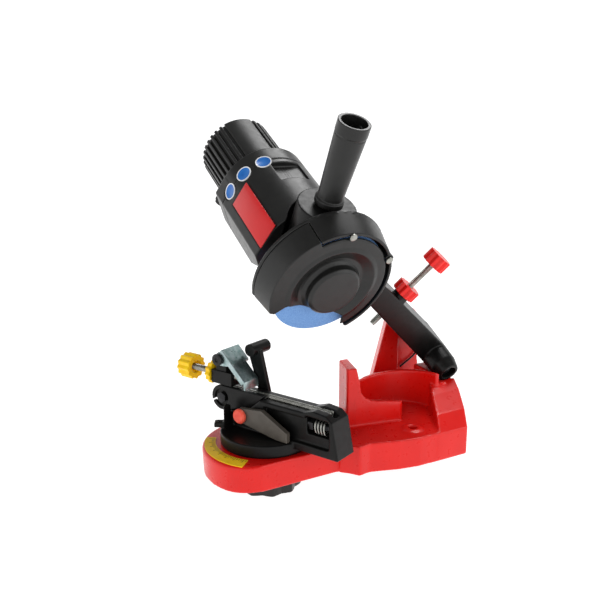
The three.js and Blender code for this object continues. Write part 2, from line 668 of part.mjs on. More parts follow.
function linkPlateBody() {
  const run = new THREE.Vector2(
    linkPlate.footX - linkPlate.topX, linkPlate.footZ - linkPlate.topZ,
  ).normalize();
  const off = new THREE.Vector2(-run.y, run.x).multiplyScalar(-linkPlate.thick);
  const profile = [
    [linkPlate.topX, linkPlate.topZ], [linkPlate.footX, linkPlate.footZ],
    [linkPlate.toeX, linkPlate.toeZ],
    [linkPlate.toeX - linkPlate.thick, linkPlate.toeZ],
    [linkPlate.footX + off.x, linkPlate.footZ + off.y],
    [linkPlate.topX + off.x, linkPlate.topZ + off.y],
  ];
  const sheet = prism(profile, linkPlate.near, linkPlate.far, 'y');
  const midX = linkPlate.topX + (linkPlate.footX - linkPlate.topX) * linkPlate.notchShare;
  const notch = slab(
    [midX, linkPlate.toeX + overrun], [linkPlate.notch, linkPlate.far + overrun],
    [linkPlate.toeZ - overrun, linkPlate.topZ],
  );
  const deep = off.clone().multiplyScalar(linkPlate.strip / linkPlate.thick);
  const turnX = linkPlate.topX + (linkPlate.footX - linkPlate.topX) * cheekShare;
  const turnZ = linkPlate.topZ + (linkPlate.footZ - linkPlate.topZ) * cheekShare;
  const cheekOutline = [
    [linkPlate.topX, linkPlate.topZ], [linkPlate.topX + off.x, linkPlate.topZ + off.y],
    [stopBlock.earX - stopPin.head, stopBlock.earZ],
    [stopBlock.earX - stopPin.radius, stopBlock.earZ - stopPin.head],
    [stopBlock.earX + stopPin.head, stopBlock.earZ - stopPin.head], [turnX + deep.x, turnZ + deep.y],
    [linkPlate.footX + deep.x, linkPlate.footZ + deep.y], [linkPlate.footX, linkPlate.footZ],
  ];
  const near = prism(cheekOutline, linkPlate.near, linkPlate.near + linkPlate.cheek, 'y');
  const far = prism(cheekOutline, linkPlate.notch - linkPlate.cheek, linkPlate.notch, 'y');
  const pinBore = rod(
    stopPin.radius + gap, -beam.half - overrun, linkPlate.far + overrun, 'y',
    [stopBlock.earX, 0, stopBlock.earZ], smallSides,
  );
  return cut(join(cut(sheet, notch), near, far), pinBore);
}

function stopPinBody() {
  const at = [stopBlock.earX, 0, stopBlock.earZ];
  const outer = linkPlate.near - gap - stopPin.headThick;
  const socket = rod(stopPin.socket, outer - overrun, outer + stopPin.socketDepth, 'y', at, smallSides);
  const pinHead = cut(rod(stopPin.head, outer, linkPlate.near - gap, 'y', at), socket);
  return join(
    pinHead,
    rod(
      stopPin.radius, linkPlate.near - gap * 2, linkPlate.notch + stopPin.headThick, 'y', at, smallSides,
    ),
  );
}

function pawlLever() {
  const points = [
    [pawl.footX - pawl.width / 2, pawl.footZ], [pawl.footX + pawl.width / 2, pawl.footZ],
    [pawl.gripX + pawl.topWidth / 2, pawl.gripZ], [pawl.gripX - pawl.topWidth / 2, pawl.gripZ],
  ];
  const blade = prism(points, pawl.inner, pawl.inner + pawl.thick, 'y');
  const grip = rod(pawl.gripRadius, pawl.gripNear, pawl.gripFar, 'y', [pawl.gripX, 0, pawl.gripZ]);
  const stub = rod(
    pawl.pin, beam.slot * 2, pawl.inner + gap, 'y', [pawl.footX, 0, pawl.footZ], smallSides,
  );
  return join(blade, grip, stub);
}

function adjustKnobBody() {
  const grip = fluted(adjustKnob, adjustKnob.left, adjustKnob.right, 'x', [0, 0, adjuster.z]);
  const cup = rod(
    adjustKnob.cup, adjustKnob.right - adjustKnob.cupDepth, adjustKnob.right + overrun, 'x',
    [0, 0, adjuster.z],
  );
  const bore = rod(
    adjuster.radius + gap, adjuster.left - gap, adjustKnob.right + overrun, 'x', [0, 0, adjuster.z],
    smallSides,
  );
  return cut(grip, cup, bore);
}

function lockNutBody() {
  const grip = fluted(lockNut, lockNut.left, lockNut.right, 'x', [0, 0, adjuster.z]);
  return cut(
    grip,
    rod(
      adjuster.radius + gap, lockNut.left - overrun, lockNut.right + overrun, 'x', [0, 0, adjuster.z],
      smallSides,
    ),
  );
}

// The least gap between turns of a wire, measured between its places that lie half a turn or more apart.
function leastGap(name, places, wireThick) {
  let least = Infinity;
  for (let i = 0; i < places.length; i += 1) {
    for (let j = i + curlSteps / 2; j < places.length; j += 1) {
      least = Math.min(least, places[i].distanceTo(places[j]) - wireThick);
    }
  }
  console.log(`${name}: least gap to itself ${least.toFixed(2)} mm`);
}

function helix(radius, from, to, turns, at) {
  const places = [];
  const count = Math.round(turns * curlSteps);
  for (let i = 0; i <= count; i += 1) {
    const share = i / count;
    const turn = 2 * Math.PI * turns * share;
    places.push(
      new THREE.Vector3(
        from + (to - from) * share, at[1] + radius * Math.cos(turn), at[2] + radius * Math.sin(turn),
      ),
    );
  }
  return places;
}

function viseSpringBody() {
  const { radius, left, right, turns, y, z } = viseSpring;
  const places = helix(radius, left + viseSpring.wire, right - viseSpring.wire, turns, [0, y, z]);
  leastGap('vise_spring', places, viseSpring.wire);
  return wire(places, viseSpring.wire / 2, places.length - 1, curlSides);
}

function viseRod() {
  const at = [0, viseSpring.y, viseSpring.z];
  const body = rod(viseSpring.rod, springBay.left + gap, springBay.right - gap, 'x', at, smallSides);
  const nut = rod(
    viseSpring.nut, viseSpring.left - gap - viseSpring.nutThick, viseSpring.left - gap, 'x', at, 6,
  );
  return join(body, nut);
}

function bushingBody(low) {
  return tube(
    arm.bore - gap, shaft.radius + gap, low, low + bushing.length, 'y', [pivot.x, 0, pivot.z], smallSides,
  );
}

// Head pieces.
function armCasting() {
  const at = [pivot.x, 0, pivot.z];
  const bar = prism([
    [0, -arm.root], [armLength, -arm.tipHigh], [armLength, arm.tipLow], [0, arm.root],
  ], arm.front, arm.back, 'y').rotate([0, -armAngle, 0]).translate(at);
  const barrel = turned([
    [0, arm.noseEnd], [arm.nose, arm.noseEnd], [arm.barrel - gap, arm.noseStart], [arm.barrel, arm.front],
    [arm.barrel, arm.back], [0, arm.back],
  ], 'y', at);
  const guardClear = rod(
    guard.backOuter + saddle.clear, arm.front - overrun, guard.back + gap, 'y', [hub.x, 0, hub.z],
    fineSides,
  );
  const boss = rod(arm.boss, hub.z + arm.bossLow, hub.z + arm.bossHigh, 'z', [hub.x, arm.bossY, 0]);
  const snout = rod(arm.snout, guard.back + gap, arm.snoutEnd, 'y', [hub.x, 0, hub.z]);
  const tail = slab(
    [hub.x - armLength, hub.x - arm.web], [arm.front - overrun, arm.back + overrun],
    [hub.z, hub.z + armLength],
  );
  const guardFace = slab(
    [hub.x - arm.boss * 2, hub.x + arm.boss * 2], [arm.bossY - arm.boss * 2, guard.back + gap],
    [0, hub.z + arm.bossHigh + overrun],
  );
  const trunk = cut(cut(bar, tail), guardClear);
  const bossBody = cut(join(boss, snout), guardFace);
  const snoutBore = rod(
    arm.snoutBore, bearing.front - gap, arm.snoutEnd + overrun, 'y', [hub.x, 0, hub.z],
  );
  const spindleBore = rod(spindle.sleeve, guard.back - overrun, arm.snoutEnd, 'y', [hub.x, 0, hub.z]);
  const studBore = rod(
    handleStud.radius + gap, hub.z + handleStud.low - gap, hub.z + arm.bossHigh + overrun, 'z',
    [hub.x, arm.bossY, 0], smallSides,
  );
  const pivotBore = rod(arm.bore, arm.noseEnd - overrun, arm.back + overrun, 'y', at);
  return cut(
    join(trunk, barrel, bossBody, stopBoss()), snoutBore, spindleBore, studBore, pivotBore, stopBore(),
    ...guardScrews(gap),
  );
}

function alongStop(solid) {
  return solid.rotate([0, 90 - stopAngle, 0]).translate([stopTip[0], stop.y, stopTip[1]]);
}

function stopBoss() {
  const low = jamKnob.start - arm.root;
  return alongStop(rod(stop.boss, low, jamKnob.start - gap, 'z', [0, 0, 0], roundSides))
    .intersect(slab([0, pivot.x], [arm.front + gap, arm.back], [0, hub.z]));
}

function stopBore() {
  return alongStop(rod(stop.radius + gap, -overrun, stop.length, 'z', [0, 0, 0], smallSides));
}

function guardScrews(extra = 0) {
  return guardScrew.angles.map((angle) => {
    const [x, z] = polar(guardScrew.circle, angle);
    const at = [hub.x + x, 0, hub.z + z];
    const shank = rod(
      guardScrew.radius + extra, guard.split, guard.split + guardScrew.length + extra, 'y', at,
      smallSides,
    );
    const headDisc = rod(
      guardScrew.head + extra, guard.split - guardScrew.headThick - gap - extra, guard.split - gap, 'y',
      at, smallSides,
    );
    return join(
      shank, headDisc,
      rod(guardScrew.radius + extra, guard.split - gap * 2, guard.split + gap, 'y', at, smallSides),
    );
  });
}

function guardOpening(low, high) {
  const side = guard.backOuter + overrun;
  const outline = [
    [-side, -guard.lobe], [-guard.notch - guard.step, -guard.lobe],
    [-guard.notch + guard.step, -guard.opening],
    [guard.notch - guard.step, -guard.opening], [guard.notch + guard.step / 2, -guard.lobe],
    [side, -guard.lobe],
    [side, -side - guard.lobe], [-side, -side - guard.lobe],
  ];
  return prism(outline, low, high, 'y');
}

function guardRim(low, high) {
  const slope = (guard.backOuter - guard.outer) / (guard.back - guard.front);
  const at = (y) => guard.outer + (y - guard.front) * slope;
  return turned([
    [at(low) - guard.wall, low], [at(low), low], [at(high), high], [at(high) - guard.wall, high],
    [at(low) - guard.wall, low],
  ], 'y', [0, 0, 0], fineSides);
}

function guardBack() {
  const plate = turned(
    [
      [0, guard.split], [guard.backOuter - gap, guard.split], [guard.backOuter, guard.back],
      [0, guard.back],
    ],
    'y', [0, 0, 0], fineSides,
  );
  const rim = guardRim(guard.front, guard.split + gap).intersect(
    wedge(guard.backOuter * 2, guard.right, guard.seam, guard.front - overrun, guard.back, 'y'),
  );
  const [bx, bz] = polar(coverScrew.pitch + gap, coverScrew.angles[1]);
  const boss = rod(coverScrew.bossRadius, guard.front, guard.split + gap, 'y', [bx, 0, bz], smallSides);
  const inner = rod(guard.plate + gap, guard.front - overrun, guard.split, 'y', [0, 0, 0], fineSides);
  const hole = rod(guard.shaftHole, guard.split - overrun, guard.back + overrun, 'y');
  const screws = guardScrew.angles.map((angle) => {
    const [x, z] = polar(guardScrew.circle, angle + work.turn);
    return rod(
      guardScrew.radius + gap, guard.split - overrun, guard.back + overrun, 'y', [x, 0, z], smallSides,
    );
  });
  return cut(
    join(plate, cut(join(rim, boss), inner)), hole,
    guardOpening(guard.front - overrun, guard.back + overrun), ...screws, ...coverScrews(gap),
  );
}

function guardCover() {
  const sheet = guard.sheet;
  const front = turned([
    [0, guard.hubFront], [guard.hubRadius - sheet, guard.hubFront + gap],
    [guard.hubRadius, guard.hubFront + sheet],
    [guard.hubRadius + gap, ridge.valleyY - sheet], [ridge.inner, ridge.valleyY],
    [ridge.valley, ridge.valleyY],
    [(ridge.valley + ridge.crest) / 2, (ridge.valleyY + ridge.crestY) / 2], [ridge.crest, ridge.crestY],
    [ridge.rim, ridge.rimY], [guard.plate - sheet / 2, guard.front],
    [guard.plate, guard.front + sheet / 2],
    [guard.plate, guard.front + sheet], [ridge.rim, ridge.rimY + sheet],
    [ridge.crest, ridge.crestY + sheet],
    [(ridge.valley + ridge.crest) / 2, (ridge.valleyY + ridge.crestY) / 2 + sheet],
    [ridge.valley, ridge.valleyY + sheet], [ridge.inner, ridge.valleyY + sheet],
    [guard.hubRadius - sheet, ridge.valleyY + gap],
    [guard.hubRadius - sheet, guard.hubFront + sheet * 1.5], [0, guard.hubFront + sheet],
  ], 'y', [0, 0, 0], fineSides);
  const sector = wedge(
    guard.backOuter * 2, guard.seam + guard.seamGap, 360 + guard.right - guard.seamGap,
    guard.front - overrun, guard.back, 'y',
  );
  const rim = join(
    guardRim(guard.front + sheet / 2, guard.split - gap),
    tube(
      guard.outer + gap, guard.plate - sheet, guard.front, guard.front + sheet, 'y', [0, 0, 0], fineSides,
    ),
  ).intersect(sector);
  return cut(join(front, rim), guardOpening(guard.hubFront - overrun, guard.split), ...coverScrews(gap));
}

function coverScrews(extra = 0) {
  return coverScrew.angles.map((angle) => {
    const [x, z] = polar(coverScrew.pitch, angle);
    const top = guard.front - gap;
    return join(
      rod(
        coverScrew.radius / 2 + extra, top - gap, top + coverScrew.length + extra, 'y', [x, 0, z],
        smallSides,
      ),
      rod(coverScrew.head + extra, top - coverScrew.headThick, top + extra, 'y', [x, 0, z], smallSides),
    );
  });
}

function wheelDisc() {
  const half = wheel.thick / 2;
  return tube(wheel.radius, wheel.bore, -half, half, 'y', [0, 0, 0], fineSides * 1.5);
}

function innerFlange() {
  const half = wheel.thick / 2;
  const body = join(
    rod(spindle.flange, half + gap, half + gap + spindle.flangeThick, 'y'),
    rod(spindle.spigot, -half + gap, half + gap * 2, 'y'),
    rod(spindle.sleeve - gap, half + spindle.flangeThick, guard.split, 'y'),
  );
  return cut(body, rod(spindle.radius + gap, -wheel.radius, wheel.radius, 'y', [0, 0, 0], smallSides));
}

function outerFlange() {
  const half = wheel.thick / 2;
  return tube(spindle.flange, spindle.radius + gap, -half - gap - spindle.flangeThick, -half - gap, 'y');
}

function spindleNut() {
  const end = -wheel.thick / 2 - gap * 2 - spindle.flangeThick;
  return cut(
    rod(spindle.nut, end - spindle.nutThick, end, 'y', [0, 0, 0], 6),
    rod(spindle.radius + gap, -wheel.radius, 0, 'y', [0, 0, 0], smallSides),
  );
}

// The housing's section: round above, with the flats of an octagon below.
function housingSection(low, high, shrink = 0) {
  const ring = rod(motor.radius - shrink, low, high, 'y', [0, 0, 0], fineSides);
  const points = [];
  const sides = 8;
  for (let i = 0; i < sides; i += 1) points.push(polar(motor.corner - shrink, (360 * (i + 0.5)) / sides));
  const lower = slab([-motor.corner, motor.corner], [low, high], [-motor.corner, 0]);
  return join(ring, prism(points, low, high, 'y').intersect(lower));
}

function frontHousing() {
  const body = housingSection(motor.front, motor.split - gap);
  const bore = rod(motor.bore, motor.boreStart, motor.split + overrun, 'y', [0, 0, 0], fineSides);
  const scoop = rod(
    motor.scoop, -motor.corner * 2, motor.corner * 2, 'z', [0, arm.bossY, 0],
  ).rotate([0, -work.turn, 0]);
  const chin = prism([
    [motor.front - overrun, -motor.corner - overrun],
    [motor.chinY + motor.chinRun, -motor.corner - overrun],
    [motor.chinY, -motor.corner + motor.chinRise],
    [motor.front - overrun, -motor.corner + motor.chinRise * 2],
  ], -motor.corner * 2, motor.corner * 2, 'x');
  const snout = rod(arm.snout + gap, motor.front - overrun, arm.snoutEnd + gap, 'y');
  return cut(body, bore, scoop, chin, snout, windowTool(), labelSeat(), switchSeat(), ...badgeDiscs(gap));
}

function windowTool() {
  return slab(
    [windowCut.left, windowCut.right],
    [motor.split - windowCut.inset - windowCut.length, motor.split - windowCut.inset],
    [motor.radius - windowCut.depth, motor.corner],
  )
    .rotate([0, -work.turn, 0]);
}

function rearHousing() {
  const straight = housingSection(motor.split, motorBack);
  const taper = turned([
    [0, motorBack - gap], [motor.radius, motorBack - gap], [motor.chamferRadius, capStart], [0, capStart],
  ], 'y', [0, 0, 0], fineSides);
  const bore = rod(motor.bore, motor.split - overrun, motorBack, 'y', [0, 0, 0], fineSides);
  const neckBore = rod(
    motor.bore - motor.wall, motorBack - overrun, capStart + overrun, 'y', [0, 0, 0], fineSides,
  );
  return cut(join(straight, taper), bore, neckBore, ...badgeDiscs(gap));
}

function motorCap() {
  const start = capStart + gap;
  const shell = turned([
    [cap.radius - cap.wall, start], [cap.radius, start], [cap.radius, capEnd - cap.inset / 2],
    [cap.radius - cap.inset / 2, capEnd], [0, capEnd], [0, capEnd - cap.floor],
    [cap.radius - cap.wall, capEnd - cap.floor], [cap.radius - cap.wall, start],
  ], 'y', [0, 0, 0], fineSides * 1.5);
  const tools = [];
  for (let i = 0; i < cap.slots; i += 1) {
    const angle = cap.firstAngle + i * cap.slotPitch;
    const mirrored = 2 * cap.mirrorAngle - angle;
    tools.push(capSlot(angle + work.turn), capSlot(mirrored + work.turn));
  }
  const cordHole = rod(
    gland.radius + gap, -cap.radius - overrun, -cap.radius + cap.wall * 2, 'z',
    [0, capEnd - gland.inset, 0],
  );
  return cut(shell, ...tools, cordHole);
}

function capSlot(angle) {
  return slab(
    [cap.radius - cap.slotDepth, cap.radius + overrun], [capStart, capEnd + overrun],
    [-cap.slotWidth / 2, cap.slotWidth / 2],
  ).rotate([0, -angle, 0]);
}

function fanWheel() {
  const fanStart = motorBack - fan.inset;
  const plate = tube(fan.radius, spindle.radius + gap, fanStart, fanStart + fan.thick / 3, 'y');
  const hubRing = tube(
    fan.hub, spindle.radius + gap, fanStart, fanStart + fan.thick + fan.bladeLength / 2, 'y',
  );
  const blades = [];
  for (let i = 0; i < fan.blades; i += 1) {
    const blade = slab(
      [fan.hub - gap, fan.radius - gap], [fanStart + gap, fanStart + fan.bladeLength], [0, fan.bladeThick],
    );
    blades.push(blade.rotate([0, (360 * i) / fan.blades, 0]));
  }
  return join(plate, hubRing, ...blades);
}

function bearingBracket() {
  const bracketStart = capEnd - bracket.inset;
  const plate = tube(
    bracket.radius, bearing.outer + gap, bracketStart, bracketStart + bracket.thick, 'y',
  );
  const cup = tube(
    bracket.cupRadius, bearing.outer + gap, bracketStart, capEnd - bearing.rearInset + bearing.length,
    'y',
  );
  return join(plate, cup);
}

function windings(low) {
  return tube(stator.coilOuter, stator.coilInner, low, low + stator.coilLength, 'y');
}

function labelPlate(extra = 0) {
  const face = -motor.corner * Math.cos(Math.PI / 8);
  return slab(
    [face - extra, face + label.thick + extra], [motor.front - extra, motor.split - label.inset + extra],
    [label.z - label.width / 2 - extra, label.z + label.width / 2 + extra],
  );
}

function labelSeat() {
  return labelPlate(gap);
}

// Round plates on small flats across the housing's joint.
function badgeDiscs(extra = 0) {
  const seat = motor.radius - badge.flat;
  const low = seat + gap - extra;
  const high = seat + gap + badge.thick + extra * overrun;
  const disc = rod(badge.radius + extra, low, high, 'x', [0, motor.split - badge.inset, 0]);
  return badge.angles.map((angle) => disc.rotate([0, -angle - work.turn, 0]));
}

function switchSeat() {
  const face = motor.corner * Math.cos(Math.PI / 8);
  return slab(
    [face - switchBox.depth, face + overrun], [switchBox.y - gap, switchBox.y + switchBox.length + gap],
    [-switchBox.width - gap, gap],
  );
}

function switchBody() {
  const face = motor.corner * Math.cos(Math.PI / 8);
  const rim = slab(
    [face - switchBox.depth + gap, face + switchBox.rise], [switchBox.y, switchBox.y + switchBox.length],
    [-switchBox.width, 0],
  );
  const midY = switchBox.y + switchBox.length / 2;
  const midZ = -switchBox.width / 2;
  const well = slab(
    [face - gap, face + switchBox.rise + overrun],
    [midY - switchBox.rockerLength / 2 - gap, midY + switchBox.rockerLength / 2 + gap],
    [midZ - switchBox.rocker / 2 - gap, midZ + switchBox.rocker / 2 + gap],
  );
  return cut(rim, well);
}

function switchRocker() {
  const face = motor.corner * Math.cos(Math.PI / 8);
  const midY = switchBox.y + switchBox.length / 2;
  const midZ = -switchBox.width / 2;
  const half = switchBox.rockerLength / 2;
  return prism([
    [face + gap, midY], [face + switchBox.rise, midY - half + gap],
    [face + switchBox.rise + switchBox.rockerRise, midY - half + gap],
    [face + switchBox.rise + gap, midY], [face + switchBox.rise, midY + half - gap],
    [face + gap * 2, midY + half - gap],
  ], midZ - switchBox.rocker / 2, midZ + switchBox.rocker / 2, 'z');
}

function cordGland() {
  const low = -cap.radius - gland.length;
  const profile = [
    [gland.bore, -cap.radius + cap.wall], [gland.radius, -cap.radius + cap.wall],
    [gland.radius, -cap.radius - gap],
  ];
  const run = (gland.length - gap) / (gland.ribs * 2);
  for (let i = 0; i < gland.ribs; i += 1) {
    const z = -cap.radius - gap - 2 * i * run;
    profile.push(
      [gland.radius, z - run], [gland.radius - gland.ribRise, z - run],
      [gland.radius - gland.ribRise, z - 2 * run],
    );
    if (i < gland.ribs - 1) profile.push([gland.radius, z - 2 * run]);
  }
  profile.push([gland.bore, low], [gland.bore, -cap.radius + cap.wall]);
  return turned(profile, 'z', [0, capEnd - gland.inset, 0], smallSides);
}

function handleBody() {
  const low = hub.z + handle.base;
  const high = low + handle.length;
  const at = [hub.x, arm.bossY, 0];
  const ringTop = low + handle.ringHeight;
  const body = turned([
    [0, low], [handle.ring, low], [handle.ring, ringTop - handle.groove], [handle.foot, ringTop],
    [handle.top - gap, high - handle.ringHeight * 2],
    [handle.top - gap - handle.groove / 2, high - handle.ringHeight * 1.8],
    [handle.top, high - handle.ringHeight * 1.6], [handle.top, high], [handle.bore, high],
    [handle.bore - handle.groove * 2, high - handle.boreDepth],
    [0, high - handle.boreDepth],
  ], 'z', at);
  const rib = slab(
    [0, handle.bore + gap], [-handle.ribThick / 2, handle.ribThick / 2],
    [high - handle.boreDepth - gap, high - handle.ribDepth],
  );
  const ribs = [0, 120, 240].map((angle) => rib.rotate([0, 0, angle + handle.ribTurn]).translate(at));
  const studBore = rod(
    handleStud.radius + gap, low - overrun, hub.z + handleStud.high + gap, 'z', at, smallSides,
  );
  return cut(join(body, ...ribs), studBore);
}

// A hexagon head with its own washer, in the socket at the front of the arm's barrel.
function pivotScrewBody() {
  const at = [pivot.x, 0, pivot.z];
  const seat = shaft.front - gap - pivotScrew.washerThick;
  return join(
    rod(pivotScrew.washer, seat, shaft.front - gap, 'y', at, smallSides),
    rod(pivotScrew.head, seat - pivotScrew.headThick, seat + gap, 'y', at, 6),
  );
}

function handleStudBody() {
  return rod(
    handleStud.radius, hub.z + handleStud.low, hub.z + handleStud.high, 'z', [hub.x, arm.bossY, 0],
    smallSides,
  );
}

function returnSpringBody() {
  const places = [];
  const count = Math.round(returnSpring.turns * curlSteps);
  for (let i = 0; i <= count; i += 1) {
    const [x, z] = polar(returnSpring.radius, returnSpring.firstTurn + (360 * i) / curlSteps);
    const y = returnSpring.start + returnSpring.wire / 2 + (returnSpring.pitch * i) / curlSteps;
    places.push(new THREE.Vector3(pivot.x + x, y, pivot.z + z));
  }
  leastGap('return_spring', places, returnSpring.wire);
  const first = places[0];
  for (const shares of springLegShares) {
    const [x, y, z] = shares.map((share) => share * returnSpring.leg);
    places.unshift(new THREE.Vector3(first.x + x, first.y + y, first.z + z));
  }
  return wire(places, returnSpring.wire / 2, count + curlSteps * 2, curlSides);
}

function stopScrewBody() {
  return alongStop(turned([
    [0, 0], [stop.radius * tapShare, 0], [stop.radius, stop.radius / 2],
    [stop.radius, stopKnob.start + stopKnob.thick / 2],
    [0, stopKnob.start + stopKnob.thick / 2],
  ], 'z', [0, 0, 0], smallSides));
}

function stopKnobBody() {
  const grip = fluted(stopKnob, stopKnob.start, stopKnob.start + stopKnob.thick);
  const bore = rod(
    stop.radius + gap, 0, stopKnob.start + stopKnob.thick / 2 + gap, 'z', [0, 0, 0], smallSides,
  );
  return alongStop(cut(grip, bore));
}

function jamKnobBody() {
  const grip = fluted(jamKnob, jamKnob.start, jamKnob.start + jamKnob.thick);
  const bore = rod(stop.radius + gap, 0, stop.length, 'z', [0, 0, 0], smallSides);
  return alongStop(cut(grip, bore));
}

// Base pieces.
piece(base, 'base_casting', baseCasting(), paints.red);
piece(base, 'angle_scale', anglePlate(), paints.yellow);
piece(base, 'lock_knob', lockKnobBody(), paints.black);
piece(
  headFrame, 'pivot_shaft',
  rod(shaft.radius, shaft.front, shaft.back, 'y', [pivot.x, 0, pivot.z], smallSides), paints.steel,
);
piece(headFrame, 'return_spring', returnSpringBody(), paints.darkSteel);

// Vise pieces.
piece(viseFrame, 'turntable', turntable(), paints.black);
piece(
  viseFrame, 'turntable_stud', rod(stud.radius, stud.bottom, stud.top, 'z', [0, 0, 0], smallSides),
  paints.steel,
);
piece(viseFrame, 'rail_near', railPlate(-1), paints.steel);
piece(viseFrame, 'rail_far', railPlate(1), paints.steel);
piece(viseFrame, 'jaw_plate', jawPlate(), paints.black);
piece(viseFrame, 'jaw_bolt', jawBoltBody(), paints.darkSteel);
piece(viseFrame, 'clamp_lever', clampLever(), paints.darkGrey);
piece(viseFrame, 'clamp_cap', leverCap(), paints.orange);
piece(viseFrame, 'stop_block', stopBlockBody(), paints.black);
piece(viseFrame, 'chain_stop_plate', linkPlateBody(), paints.zinc);
piece(viseFrame, 'chain_stop_pin', stopPinBody(), paints.darkSteel);
piece(viseFrame, 'pawl_lever', pawlLever(), paints.black);
piece(
  viseFrame, 'adjust_screw',
  rod(adjuster.radius, adjuster.left, adjuster.right, 'x', [0, 0, adjuster.z], smallSides), paints.steel,
);
piece(viseFrame, 'adjust_knob', adjustKnobBody(), paints.yellow);
piece(viseFrame, 'adjust_lock_nut', lockNutBody(), paints.yellow);
piece(viseFrame, 'vise_rod', viseRod(), paints.darkSteel);
piece(viseFrame, 'vise_spring', viseSpringBody(), paints.steel);

// Arm pieces.
piece(headFrame, 'arm', armCasting(), paints.black);
piece(headFrame, 'arm_bushing_front', bushingBody(shaft.front + bushing.inset), paints.brass);
piece(headFrame, 'arm_bushing_rear', bushingBody(arm.back - bushing.length - bushing.inset), paints.brass);
piece(headFrame, 'pivot_screw', pivotScrewBody(), paints.darkSteel);
piece(headFrame, 'handle', handleBody(), paints.black);
piece(headFrame, 'handle_stud', handleStudBody(), paints.steel);
piece(headFrame, 'stop_screw', stopScrewBody(), paints.steel);
piece(headFrame, 'stop_knob', stopKnobBody(), paints.knobRed);
piece(headFrame, 'jam_knob', jamKnobBody(), paints.knobRed);
guardScrews().forEach((screw, i) => piece(headFrame, `guard_screw_${i + 1}`, screw, paints.steel));

// Guard, wheel and motor pieces.
piece(workFrame, 'guard_back', guardBack(), paints.black);
piece(workFrame, 'guard_cover', guardCover(), paints.black);
coverScrews().forEach((screw, i) => piece(workFrame, `cover_screw_${i + 1}`, screw, paints.steel));
piece(workFrame, 'motor_front_housing', frontHousing(), paints.black);
piece(workFrame, 'motor_rear_housing', rearHousing(), paints.black);
piece(workFrame, 'motor_cap', motorCap(), paints.black);
piece(workFrame, 'label_plate', labelPlate(), paints.labelRed);
badgeDiscs().forEach((plate, i) => piece(workFrame, `badge_${i + 1}`, plate, paints.blue));
piece(
  workFrame, 'stator', tube(stator.outer, stator.inner, statorStart, statorEnd, 'y'), paints.laminate,
);
piece(workFrame, 'winding_front', windings(statorStart - gap - stator.coilLength), paints.copper);
piece(workFrame, 'winding_rear', windings(statorEnd + gap), paints.copper);
piece(
  workFrame, 'bearing_front',
  tube(bearing.outer, bearing.inner, bearing.front, bearing.front + bearing.length, 'y'), paints.steel,
);
piece(
  workFrame, 'bearing_rear',
  tube(
    bearing.outer, bearing.inner, capEnd - bearing.rearInset, capEnd - bearing.rearInset + bearing.length,
    'y',
  ),
  paints.steel,
);
piece(workFrame, 'bearing_bracket', bearingBracket(), paints.darkSteel);
piece(workFrame, 'switch_body', switchBody(), paints.black);
piece(workFrame, 'switch_rocker', switchRocker(), paints.knobRed);
piece(workFrame, 'cord_gland', cordGland(), paints.black);
piece(
  spindleFrame, 'spindle',
  rod(spindle.radius, spindle.front, capEnd - spindle.backInset, 'y', [0, 0, 0], smallSides),
  paints.steel,
);
piece(
  spindleFrame, 'rotor',
  tube(rotor.radius, spindle.radius + gap, statorStart + rotor.inset, statorEnd - rotor.inset, 'y'),
  paints.laminate,
);
piece(spindleFrame, 'fan', fanWheel(), paints.black);
piece(spindleFrame, 'inner_flange', innerFlange(), paints.steel);
piece(spindleFrame, 'grinding_wheel', wheelDisc(), paints.abrasive);
piece(spindleFrame, 'outer_flange', outerFlange(), paints.steel);
piece(spindleFrame, 'spindle_nut', spindleNut(), paints.darkSteel);

export default grinder;
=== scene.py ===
import json
import math

import bmesh
import bpy
import numpy as np
from mathutils import Matrix, Vector

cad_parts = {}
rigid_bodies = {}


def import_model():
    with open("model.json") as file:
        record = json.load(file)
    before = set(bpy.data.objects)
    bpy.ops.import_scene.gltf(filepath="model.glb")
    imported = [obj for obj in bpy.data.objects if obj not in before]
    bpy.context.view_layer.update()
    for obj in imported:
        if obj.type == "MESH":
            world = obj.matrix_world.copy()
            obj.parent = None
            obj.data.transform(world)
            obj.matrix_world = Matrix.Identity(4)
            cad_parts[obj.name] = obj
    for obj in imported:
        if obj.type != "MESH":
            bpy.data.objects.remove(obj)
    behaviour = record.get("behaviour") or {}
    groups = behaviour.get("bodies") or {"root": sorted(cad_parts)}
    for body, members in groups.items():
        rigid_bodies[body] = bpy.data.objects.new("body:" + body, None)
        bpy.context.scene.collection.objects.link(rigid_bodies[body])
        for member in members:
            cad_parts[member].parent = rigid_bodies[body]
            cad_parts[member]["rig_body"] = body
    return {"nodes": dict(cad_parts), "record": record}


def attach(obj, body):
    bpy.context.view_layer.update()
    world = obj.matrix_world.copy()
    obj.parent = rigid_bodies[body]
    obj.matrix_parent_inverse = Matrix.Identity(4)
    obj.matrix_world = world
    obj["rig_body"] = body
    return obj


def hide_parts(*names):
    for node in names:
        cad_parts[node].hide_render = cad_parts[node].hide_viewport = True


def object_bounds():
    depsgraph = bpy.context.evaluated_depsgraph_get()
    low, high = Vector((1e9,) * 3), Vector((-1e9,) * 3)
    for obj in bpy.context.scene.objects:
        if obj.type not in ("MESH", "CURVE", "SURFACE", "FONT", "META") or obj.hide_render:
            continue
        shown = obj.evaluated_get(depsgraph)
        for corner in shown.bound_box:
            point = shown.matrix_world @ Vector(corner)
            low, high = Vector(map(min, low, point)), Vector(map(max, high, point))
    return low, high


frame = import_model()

cad_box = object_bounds()

